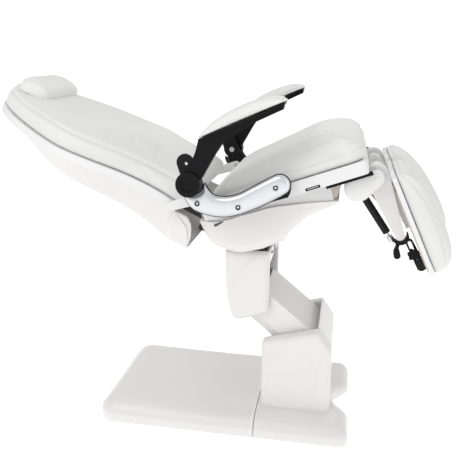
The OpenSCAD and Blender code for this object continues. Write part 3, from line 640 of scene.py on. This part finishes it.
def seat_cushion():
    """Seat pad with a front bolster; the sides carry one long sewn line."""
    half = SEAT_HALF - SEAT_INSET
    corners = [(42, -half, 42), (SEAT_LEN + 5, -half, 46), (SEAT_LEN + 5, half, 46), (42, half, 42)]
    levels = [(inset, share * FULL) for inset, share in EDGE_ROUND]
    verts, faces = mound(corners, levels, "plan", 8,
                         lambda a, b: 3 * ease(half - abs(b), 60, 220), 12)
    shaped = []
    for p, y, h in verts:
        top = along(SEAT_TOP, p) - CUSHION_LOW
        front = 7 * ease(p, 470, 552) * math.sin(math.pi * min(h / FULL, 1))
        shaped.append((p + front, y, CUSHION_LOW + h / FULL * top))

    def depth(p, y, q):
        rim = np.minimum(SEAT_HALF - np.abs(y), SEAT_LEN + 14 - p)
        seam = 47 + 20 * np.clip(p, 0, SEAT_LEN) / SEAT_LEN
        line = groove(q - seam, 4.5, 3.0) * near_edge(rim, 34, 4)
        crease = groove(rim - 46, 7, 1.2) * (q > 60)
        return line + crease + wrinkles(p, y, q, 46, 0.5) * (q > CUSHION_LOW + 6)

    cushion("seat_pad", (shaped, faces), ON_SEAT, "seat", "seat_cushion", 6, 4.5, 12,
            lambda p, y, q: q < CUSHION_LOW + 3, depth)


BACK_HALF = [(-80, 268), (0, 261), (80, 232), (150, 222), (230, 228), (330, 258), (430, 276),
             (520, 254), (614, 209), (675, 168), (729, 114), (755, 70), (770, 0)]
BACK_CROWN = [(-60, 8), (-40, 22), (-10, 42), (30, 60), (90, 70), (150, 69), (250, 61), (350, 49),
              (430, 38), (500, 29), (600, 18), (650, 12), (770, 8)]
BACK_INSET = 9      # the pad is drawn this far inside the cushion's sides, and swells


def back_outline(inset, start, steps=4):
    """Plan of the backrest in its frame, from start to the head, dense and set in by inset."""
    side = [p for p in catmull(BACK_HALF, steps) if p[0] >= start - 1e-6]
    near = [(-s, w) for s, w in side]
    far = [(-s, -w) for s, w in reversed(side[:-1])]
    outline = near + far
    return shrink(outline, inset) if inset else outline


def back_cushion():
    """Back pad: a boxed side up to a sewn edge, then a crown that swells towards the waist."""
    rim = 58
    outline = back_outline(BACK_INSET, -48)
    levels = [(6, 0.8), (0, 8), (0, 24), (0, 44), (4, 55), (9, 60), (12, 63), (20, 67), (34, 70)]
    verts, faces = mound(outline, levels, "plan", 0, None, 22)
    shaped = []
    for a, y, t in verts:
        s = -a
        w = max(along(BACK_HALF, s) - BACK_INSET, 20)
        share = min(abs(y) / w, 1)
        if t > rim + 1:
            head = ease(735 - s, 0, 130)
            t = rim + 4 + along(BACK_CROWN, s) * (1 - share ** 2.6) * (0.6 + 0.4 * head)
        hinge_end = ease(-s, 6, 50)
        t -= hinge_end * 16 * ease(t, 20, 90)
        a -= 6 * hinge_end * (1 - math.sin(math.pi * min(t / 70, 1))) + 9 * ease(s, 600, 750)
        # the lower end is round, so that it clears the seat when the back lies flat
        end = 7 + math.sqrt(max(27 ** 2 - (62 - t) ** 2, 0)) if t < 62 else 34
        shaped.append((min(a, end), y, t))

    def depth(a, y, t):
        edge = np.minimum(straight(BACK_HALF, -a) - np.abs(y), 775 + a)
        seam = straight([(0, rim + 2), (520, rim + 2), (690, rim - 6)], -a)
        line = groove(t - seam, 5, 4.2) * near_edge(edge, 40, 5)
        return line + wrinkles(a, y, t, 60, 0.6) * (t > 8)

    cushion("back_pad", (shaped, faces), ON_BACK, "backrest", "back_cushion", 6, 4, 10,
            lambda a, y, t: t < 4, depth, rounds=3)


def headrest():
    """Loaf-shaped pillow with a sewn ring around each end."""
    corners = [(-704, -128, 40), (-580, -128, 34), (-580, 128, 34), (-704, 128, 40)]
    levels = [(12, 74), (4, 76), (0, 83), (0, 94), (2, 105), (7, 115), (15, 122), (27, 128),
              (42, 131)]
    shape = mound(corners, levels, "plan", 8, None, 5)

    def depth(a, y, t):
        return groove(np.abs(y) - 106, 3.5, 2.2) * (t > 78) + wrinkles(a, y, t, 30, 0.4)

    cushion("headrest_pad", shape, ON_BACK, "headrest", "headrest_pillow", 4.5, 5, 7,
            lambda a, y, t: t < 75.5, depth)


LEG_GAP = 12
LEG_W = 268
LEG_SHELL_FRONT = 53
LEG_INSET = 9       # the pad is drawn this far inside the cushion's sides, and swells
LEG_FULL = [(-350, 104), (-323, 117), (-285, 128), (-212, 137), (-121, 134), (-52, 117), (0, 92),
            (10, 80)]


def leg_cushion(side):
    """Calf pad, fullest below its middle, with a sewn edge where the side meets the front."""
    y0, y1 = LEG_GAP + LEG_INSET, LEG_GAP + LEG_W - LEG_INSET
    corners = [(y0, -339, 34), (y1, -339, 34), (y1, 2, 18), (y0, 2, 18)]
    levels = [(inset * 0.8, share * FULL) for inset, share in EDGE_ROUND]
    verts, faces = mound(corners, levels, "front", 8, None, 9)
    low = LEG_SHELL_FRONT + 1
    shaped = []
    for h, y, z in verts:
        full = along(LEG_FULL, z) - low
        lean = 8 * ease(z, -40, 8) * (1 - h / FULL)
        shaped.append((low + h / FULL * full, y * SIDES[side], z - lean * 0.3))

    def depth(v, y, z):
        across = np.minimum(np.abs(y) - y0 + 6, y1 + 6 - np.abs(y))
        rim = np.minimum(across, np.minimum(z + 345, 8 - z))
        line = groove(v - (straight(LEG_FULL, z) - 24), 4, 2.6) * near_edge(rim, 26, 3)
        return line + wrinkles(v, y, z, 38, 0.4) * (v > low + 6)

    cushion(f"leg_pad_{side}", (shaped, faces), ON_LEG[side], f"leg_pad_{side}",
            f"leg_cushion_{side}", 5, 4.5, 8, lambda v, y, z: v < low + 3, depth)


ARM_OUT = 384
PAD_W = 78
PAD_TOP = [(-37, 1078), (-28, 1092), (4, 1121), (46, 1150), (103, 1177), (151, 1193), (187, 1198),
           (209, 1195), (219, 1187)]
PAD_FLOOR = (-37, 1072.5)       # x and z where the underside starts
PAD_SLOPE = (254, 110)          # its run along x and its rise


def pad_floor(x):
    """Height of the armrest pad's underside at x."""
    return PAD_FLOOR[1] + (x - PAD_FLOOR[0]) * PAD_SLOPE[1] / PAD_SLOPE[0]


def blunt(value, power):
    """value, from -1 to 1, pushed outwards by a power below 1."""
    return math.copysign(abs(value) ** power, value)


def arm_pad(side):
    """Armrest pad: flat underneath, its top arched along and across."""
    stations = 22
    around = 28
    rings = []
    for i in range(stations + 1):
        u = i / stations
        x = PAD_TOP[0][0] + (PAD_TOP[-1][0] - PAD_TOP[0][0]) * (0.5 - 0.5 * math.cos(math.pi * u))
        floor_z = pad_floor(x)
        top = max(along(PAD_TOP, x), floor_z + 4) - 2
        ends = min(math.sin(math.pi * min(max(u, 0.02), 0.98)) * 2.2, 1)
        half = (PAD_W / 2 - 3) * (0.78 + 0.22 * ends)
        ring = []
        for k in range(around):
            angle = 2 * math.pi * k / around
            c, s = math.cos(angle), math.sin(angle)
            y = ARM_OUT - PAD_W / 2 + half * blunt(c, 0.55)
            high = (top - floor_z) * (0.5 + 0.5 * blunt(s, 0.6 if s < 0 else 0.8))
            ring.append((x, y * SIDES[side], floor_z + high))
        rings.append(ring)

    def depth(x, y, z):
        return groove(z - pad_floor(x) - 9, 2.5, 1.6) + wrinkles(x, y, z, 26, 0.3)

    cushion(f"armrest_pad_{side}", rings_to_solid(rings), WORLD, f"armrest_{side}",
            f"arm_pad_{side}", 4, 4, 4, lambda x, y, z: z < pad_floor(x) + 3, depth, rounds=3)


# ---------- base ----------

BASE_X = (-464, 444)
BASE_HALF = 259
BASE_SPLIT = 118    # x of the seam between the two mouldings
HALF_SEAM = 1.0
BASE_EDGE = [(0, 45), (4, 52), (9, 58), (15, 64), (23, 70), (33, 75.5), (45, 79.5), (60, 82.5),
             (80, 84.5), (100, 85)]
NOTCH = 58          # depth of the hollow between the toes
TOE = 150           # width of a toe


def base_covers():
    """Crowned floor cover in two mouldings, with a hollow between its two front toes."""
    rear, front = BASE_X
    corners = [(rear, -BASE_HALF, 66), (front, -BASE_HALF, 36), (front, -BASE_HALF + TOE, 46),
               (front - NOTCH, -40, 110), (front - NOTCH, 40, 110),
               (front, BASE_HALF - TOE, 46), (front, BASE_HALF, 36), (rear, BASE_HALF, 66)]
    outline = fillet(corners, 10)
    slab_top = 50

    def tail(x, y, high):
        """The cover rises a little towards its rear."""
        return 8 * np.clip((-x - 60) / 320, 0, 1) * np.clip((high - 45) / 40, 0, 1)

    slab = mound(outline, [(2, 6.5), (0, 9), (0, slab_top)], "plan", 0)
    for end, sign in (("rear", 1), ("front", -1)):
        obj = build(f"base_skin_{end}", slab, WORLD, "base", SHELL, f"base_cover_{end}")
        remesh(obj, 7)
        crown(obj, 2, 20, slab_top, outline, BASE_EDGE, relief=tail)
        relax(obj, 5)
        cut(obj, (BASE_SPLIT - sign * HALF_SEAM, 0, 0), (sign, 0, 0), WORLD)
        soften(obj, 1.5, 2, 50)


# ---------- housing and column ----------

HOUSING_SIDE = [(128, 60, 3), (131, 340, 14), (329, 392, 10), (374, 325, 16), (377, 60, 3)]
HOUSING_HALF = 170
COLUMN_SIDE = [(-3, 662, 3), (0, 521, 60), (11, 452, 30), (25, 410, 12), (58, 410, 60),
               (112, 428, 60), (152, 446, 6), (152, 662, 3)]
COLUMN_HALF = 160
SLOT_HALF = 126     # inside face of the cheeks
CHEEK_EDGE = [(0, -15), (2, -9), (5, -4.8), (9, -2), (14, -0.5), (19, 0)]


def cheek(name, corners, half, relief, body):
    """One moulded side of a cover, softly rounded outside, with its relief; made for both sides."""
    outline = fillet(corners, 8)
    edge = [(inside, half + drop) for inside, drop in CHEEK_EDGE]
    verts, faces = mound(outline, [(0, SLOT_HALF), (0, half)], "side", 0)
    for side, flip in SIDES.items():
        shape = ([(x, y * flip, z) for x, y, z in verts], faces)
        obj = build(f"{name}_{side}", shape, WORLD, body, SHELL)
        remesh(obj, 4)
        crown(obj, 1, SLOT_HALF + 10, half, outline, edge, flip, relief)
        relax(obj, 8)
        recoat(obj, SHELL)


def panel(name, corners, body, *nodes):
    """Wall between the two cheeks of a cover, drawn by its side outline."""
    shape = mound(corners, [(0, -SLOT_HALF), (0, SLOT_HALF)], "side", 4)
    build(name, shape, WORLD, body, SHELL, *nodes)


def housing():
    """Cover of the lower pivots: two cheeks with a shallow round dish, open above and behind."""
    def dish(x, z, high):
        out = np.hypot(x - 226, z - 205)
        return -7 * smooth_step(out, 112, 94) * smooth_step(x, 120, 150)

    cheek("housing_cheek", HOUSING_SIDE, HOUSING_HALF, dish, "base")
    front = [(324, 384.5, 1), (325, 391, 1), (329, 392, 8), (374, 325, 16), (377, 60, 0),
             (373.2, 60, 0), (370.4, 324, 14)]
    panel("housing_front", front, "base", "housing_cover")
    panel("housing_sill", [(129, 60, 1), (134, 60, 1), (134, 170, 2), (129, 170, 2)], "base")


def column():
    """Cover of the column: two cheeks with a soft arc, a back wall, lintels over the arm's
    opening and the bolt behind it."""
    def swell(x, z, high):
        out = np.hypot(x - 262, z - 466)
        return 4.0 * smooth_step(out, 250, 236) * smooth_step(z, 412, 500) - 3.2

    cheek("column_cheek", COLUMN_SIDE, COLUMN_HALF, swell, "column")
    back = [(-3, 662, 0), (0, 521, 60), (11, 452, 30), (22, 414, 3), (26, 414, 3), (16, 453, 30),
            (5, 521, 60), (2, 662, 0)]
    panel("column_back", back, "column", "column_cover")
    lintel = mound([(34, 620, 2), (SLOT_HALF, 620, 0), (SLOT_HALF, 662, 0), (34, 662, 0)],
                   [(0, 146), (0, 152)], "front", 3)
    for side in ("left", "right"):
        build(f"column_lintel_{side}", lintel, mirrored(side, WORLD), "column", SHELL)
    bolt = mound([(-92, 640, 6), (-80, 640, 6), (-80, 652, 6), (-92, 652, 6)],
                 [(0, 151), (0, 153.5), (1.5, 155)], "front", 5)
    build("column_bolt", bolt, WORLD, "column", BLACK_PAINT)


# ---------- seat shells ----------

BELLY_FLOOR = [(-68, 772), (-56, 733), (-36, 704), (9, 685), (59, 676), (133, 692), (175, 711),
               (205, 725), (223, 754), (270, 800), (316, 829), (362, 850), (374, 866)]
BELLY_EDGE = [(-68, 785), (-17, 786), (30, 796), (65, 810), (161, 841), (255, 857), (348, 865),
              (374, 869)]


def seat_under(x):
    """Underside of the seat's trim at x."""
    slope = math.radians(SEAT_SLOPE)
    return 800 + (x + 60) * math.tan(slope) - 15.5 / math.cos(slope)


def belly():
    """Moulded belly: a rounded bowl with a lip and a recessed skirt up to the seat, with a dark
    patch of painted shade for the slot in each side and a board at its front whose brown tone is
    partly painted shade."""
    stations = 44
    bowl = []
    for i in range(stations + 1):
        x = -68 + 442 * i / stations
        edge = along(BELLY_EDGE, x)
        floor_z = min(along(BELLY_FLOOR, x), edge - 2)
        half = 238 - 20 * ease(x, 200, 380) - 6 * ease(-x, 20, 70)
        deep = edge - floor_z
        round_in = min(40, deep * 0.75)
        ring = [(x, -half + 4, edge + 2.5), (x, -half, edge)]
        corner = arc((half - 5 - round_in, floor_z + round_in), round_in, 0, -90, 10)
        ring += [(x, -y, z) for y, z in corner]
        ring += [(x, 0.0, floor_z - 1.0)]
        ring += [(x, y, z) for y, z in reversed(corner)]
        ring += [(x, half, edge), (x, half - 4, edge + 2.5)]
        bowl.append(ring)
    obj = build("belly_bowl", rings_to_solid(bowl), WORLD, "seat", SHELL, "seat_under_cover",
                sharp=50)
    soften(obj, 3, 3, 50)

    stations = 20
    skirt = []
    for i in range(stations + 1):
        x = -66 + 412 * i / stations
        top = seat_under(x)
        low = min(along(BELLY_EDGE, x) - 6, top - 3)
        shift = 18 * ease(x, 250, 346)
        half = 229 - 20 * ease(x, 200, 380)
        skirt.append([(x + shift * 0.9, -half, low), (x + shift * 0.9, half, low),
                      (x - shift * 0.3, half - 2, top), (x - shift * 0.3, -half + 2, top)])
    build("belly_skirt", rings_to_solid(skirt), WORLD, "seat", SHELL, sharp=50)
    # painted shade: a thin dark patch on each side stands in for the shade inside the slot
    pocket = [(-21, 777, 3), (14, 793, 4), (8, 785, 8), (-16, 769, 6)]
    shape = mound(pocket, [(0, 228), (0, 239.3), (1, 239.8)], "side", 4)
    for side in ("left", "right"):
        build(f"belly_slot_painted_shade_{side}", shape, mirrored(side, WORLD), "seat", MOTOR)
    # a board at the belly's front; its brown tone is partly painted shade, for the brown shade seen
    # there
    bulkhead = [(338, 918), (382, 928), (366, 874), (350, 872)]
    rings = [[(x, y, z) for x, z in bulkhead] for y in (-206, 206)]
    soften(build("belly_bulkhead", rings_to_solid(rings), WORLD, "seat", SHADE_TONED_BOARD), 2)


SHELL_DEPTH = [(-72, 143), (-3, 143), (77, 134), (157, 123), (237, 113), (317, 102), (399, 85),
               (485, 58), (560, 34), (604, 25)]
SHELL_FACE = 24     # the shell starts this far behind the origin of the back's frame
SHELL_END = [(25, -12), (44, 28), (56, 46), (95, 66), (143, 71)]


def hollow(ring):
    """The inside of one ring of the back shell, set in by the wall."""
    depth = -min(t for a, y, t in ring)
    inner = SHELL_FACE + 3
    share = (depth - 6 - inner) / (depth - SHELL_FACE)
    return [(a, y * (1 - 8 / max(abs(y), 9)), -inner + (t + SHELL_FACE) * share)
            for a, y, t in ring]


def back_shell():
    """Rear shell of the back: straight sides to a ridge, a bevel band and a flat spine, hollow at
    its lower end, where an ear on each side covers the hinge."""
    stations = 40
    rings = []
    for i in range(stations + 1):
        u = i / stations
        s_floor = -71 + 671 * u
        ring = []
        depth = along(SHELL_DEPTH, s_floor)
        ridge = SHELL_FACE + (depth - SHELL_FACE) * 0.8
        for share_t, inset in ((0.0, 0.0), (0.35, 2.0), (0.75, 4.5), (1.0, 7.0), (1.04, 10.0)):
            t = SHELL_FACE + (ridge - SHELL_FACE) * share_t
            ring.append((t, inset))
        band = 46 * ease(depth, SHELL_FACE, 110)
        ring += [(ridge + (depth - ridge) * 0.5, 10 + band * 0.45), (depth - 1.5, 10 + band * 0.9),
                 (depth, 14 + band)]
        side = []
        for t, inset in ring:
            start = -along(SHELL_END, t)
            s = start + (600 - start) * u
            w = max(along(BACK_HALF, s) - inset - 1, 6)
            side.append((-s, w, -t))
        rings.append([(a, -w, t) for a, w, t in side] + [(a, w, t) for a, w, t in reversed(side)])
    pocket = [hollow(rings[i]) for i in (8, 6, 4, 2, 0)]
    obj = build("back_shell_skin", rings_to_solid(pocket + rings), ON_BACK, "backrest", SHELL,
                "back_shell", sharp=24)
    soften(obj, 2.5, 3, 40)
    ear_side = [(-12, -26, 0), (34, -26, 8), (56, -46, 10), (70, -84, 20), (73, -118, 4),
                (-12, -118, 0)]
    ear = mound(ear_side, [(0, 244), (0, 254.5), (1.5, 256)], "side", 4)
    for side in ("left", "right"):
        build(f"back_ear_{side}", ear, mirrored(side, ON_BACK), "backrest", SHELL)


# ---------- aluminium covers of the arm plates ----------

COVER_OUTER = [(-94, 905), (-91, 888), (-62, 850), (0, 832), (62, 836), (140, 867), (214, 908)]
COVER_INNER = [(187, 965), (118, 926), (79, 904), (40, 894), (4, 897), (-17, 915), (-28, 935)]
ARM_AXIS = JOINT["armrest_right_fold"]
SCREWS = [(-48, 872), (78, 866), (190, 930)]
COVER_BACK = 330    # inside face of the cover
COVER_SLAB = 338    # outside face before it is crowned
COVER_EDGE = [(0, 336), (1.5, 339), (4, 341.4), (8, 343.4), (13, 344.8), (19, 345.6), (26, 346)]
WASHER = [(11, 343.2), (10.8, 346.6), (9.4, 347.2), (8.2, 346.8), (7.6, 345.0)]
SCREW = [(7.8, 344.6), (7.5, 346.2), (6.0, 346.8), (3.6, 346.6), (3.2, 345.2)]


def bracket_outline():
    """Outline of the cover, with a round tip in front and a bite around the armrest's cap."""
    tip = arc((201, 937), 31, -64, 116, 14)
    bite = arc((ARM_AXIS.x, ARM_AXIS.z), 40, -2, -131, 12)
    return catmull(COVER_OUTER, 5)[:-1] + tip + catmull(COVER_INNER, 5)[1:-1] + bite[:-1]


def bracket_covers(side):
    """Crowned aluminium cover on a dark gasket, with three sunk screws on pale washers."""
    turn = mirrored(side, WORLD)
    outline = bracket_outline()
    gasket = mound(outline, [(-2.5, 328.5), (-2.5, 331), (0, 332)], "side", 0)
    build(f"bracket_gasket_{side}", gasket, turn, "seat", RUBBER)
    slab = mound(outline, [(0, COVER_BACK), (0, COVER_SLAB)], "side", 0)
    obj = build(f"bracket_cover_{side}", slab, turn, "seat", ALUMINIUM,
                f"arm_bracket_cover_{side}")
    remesh(obj, 2.4)
    crown(obj, 1, COVER_BACK + 2, COVER_SLAB, outline, COVER_EDGE, SIDES[side])
    relax(obj, 6)
    recoat(obj, ALUMINIUM)
    for i, centre in enumerate(SCREWS):
        lathe(f"washer_{side}_{i}", WASHER, centre, turn, "seat", PIN)
        lathe(f"screw_{side}_{i}", SCREW, centre, turn, "seat", BLACK_PAINT)


def lathe(name, profile, centre, where, body, material, steps=28):
    """Turned piece about an axis along Y: profile of (radius, y) closed over its middle."""
    rings = [[(x, y, z) for x, z in arc(centre, radius, 0, 360, steps)[:-1]]
             for radius, y in profile]
    build(name, rings_to_solid(rings), where, body, material, sharp=40)


# ---------- small details ----------

def strap(a, a_radius, b, b_radius):
    """Outline of two discs at a and b with straight tangents between them."""
    turn = math.degrees(math.atan2(b[1] - a[1], b[0] - a[0]))
    lean = math.degrees(math.acos((a_radius - b_radius) / math.dist(a, b)))
    around_a = arc(a, a_radius, turn + lean, turn + 360 - lean, 20)
    return around_a + arc(b, b_radius, turn - lean, turn + lean, 10)


def leg_bracket(side):
    """Moulded foot under the seat that carries a leg rest, with the end of the rest's pin."""
    hub = (LEG_AXIS.x, LEG_AXIS.z)
    turn = mirrored(side, WORLD)
    levels = [(3, 193), (0, 197), (0, 230), (1.5, 235), (5, 238), (10, 239.5)]
    shape = mound(strap((430, 914), 42, hub, 24), levels, "side", 0)
    build(f"leg_bracket_{side}", shape, turn, "seat", WHITE_STEEL, "leg_brackets")
    lathe(f"leg_bracket_pin_{side}", [(9, 236), (9, 241), (7.5, 242.5), (2, 243)], hub, turn,
          "seat", WHITE_STEEL)


def leg_boards(side):
    """Board between a leg's arm and its shell; its beige-brown tone is partly painted shade, for
    the shaded underside of the shell.
    """
    y0, y1 = LEG_GAP + 12, LEG_GAP + LEG_W - 12
    corners = [(y0, -326, 20), (y1, -326, 20), (y1, -66, 20), (y0, -66, 20)]
    verts, faces = mound(corners, [(0, 34.6), (0, 38.6)], "front", 5)
    verts = [(v, y * SIDES[side], z) for v, y, z in verts]
    build(f"leg_board_{side}", (verts, faces), ON_LEG[side], f"leg_pad_{side}", SHADE_TONED_BOARD)


# ---------- stage, light and camera ----------

# name, place in metres, size in metres, power in watts
LAMPS = [("key", (-1.6, -2.6, 3.4), 2.4, 34), ("fill", (3.2, -2.0, 1.8), 2.0, 8),
         ("rim", (0.5, 3.0, 3.0), 2.6, 16)]
AIM = Vector((0, 0, 0.6))
FLOOR_GLOW = 0.42
WORLD_LIGHT = 0.7   # strength of the world as light
WORLD_SEEN = 1.1    # strength of the world as the camera sees it


def stage():
    """White floor, white world and three soft lamps."""
    bpy.ops.mesh.primitive_plane_add(size=60, location=(0, 0, 0))
    floor = bpy.context.active_object
    floor.name = "floor"
    pale = finish("floor", (0.93, 0.93, 0.93), 0.9, cloud=0.004)
    shader = pale.node_tree.nodes["Principled BSDF"]
    shader.inputs["Emission Color"].default_value = (1, 1, 1, 1)
    shader.inputs["Emission Strength"].default_value = FLOOR_GLOW
    floor.data.materials.append(pale)
    world = bpy.data.worlds.new("studio")
    bpy.context.scene.world = world
    world.use_nodes = True
    nodes, links = world.node_tree.nodes, world.node_tree.links
    back = nodes["Background"]
    back.inputs["Color"].default_value = (1, 1, 1, 1)
    seen = nodes.new("ShaderNodeLightPath")
    level = nodes.new("ShaderNodeMapRange")
    level.inputs["To Min"].default_value = WORLD_LIGHT
    level.inputs["To Max"].default_value = WORLD_SEEN
    links.new(seen.outputs["Is Camera Ray"], level.inputs["Value"])
    links.new(level.outputs["Result"], back.inputs["Strength"])
    for name, at, size, power in LAMPS:
        light = bpy.data.lights.new(name, "AREA")
        light.size = size
        light.energy = power
        lamp = bpy.data.objects.new(name, light)
        lamp.location = at
        lamp.rotation_euler = (AIM - Vector(at)).to_track_quat("-Z", "Y").to_euler()
        bpy.context.scene.collection.objects.link(lamp)
    view = bpy.context.scene.view_settings
    view.view_transform = "Standard"
    view.look = "None"


def camera():
    """Camera at the viewing angle of a product picture: nearly side-on from the sitter's right."""
    azimuth, elevation = math.radians(10.875), math.radians(16.263)
    data = bpy.data.cameras.new("view")
    data.lens = 47.69
    data.sensor_width = 36
    cam = bpy.data.objects.new("view", data)
    cam.location = (0.3894, -2.0936, 1.3133)
    back = Vector((math.sin(azimuth) * math.cos(elevation),
                   -math.cos(azimuth) * math.cos(elevation), math.sin(elevation)))
    cam.rotation_euler = (-back).to_track_quat("-Z", "Y").to_euler()
    bpy.context.scene.collection.objects.link(cam)
    bpy.context.scene.camera = cam


dress_frame()
base_covers()
housing()
column()
belly()
back_shell()
seat_cushion()
back_cushion()
headrest()
for side in SIDES:
    leg_cushion(side)
    leg_bracket(side)
    leg_boards(side)
    arm_pad(side)
    bracket_covers(side)
stage()
camera()
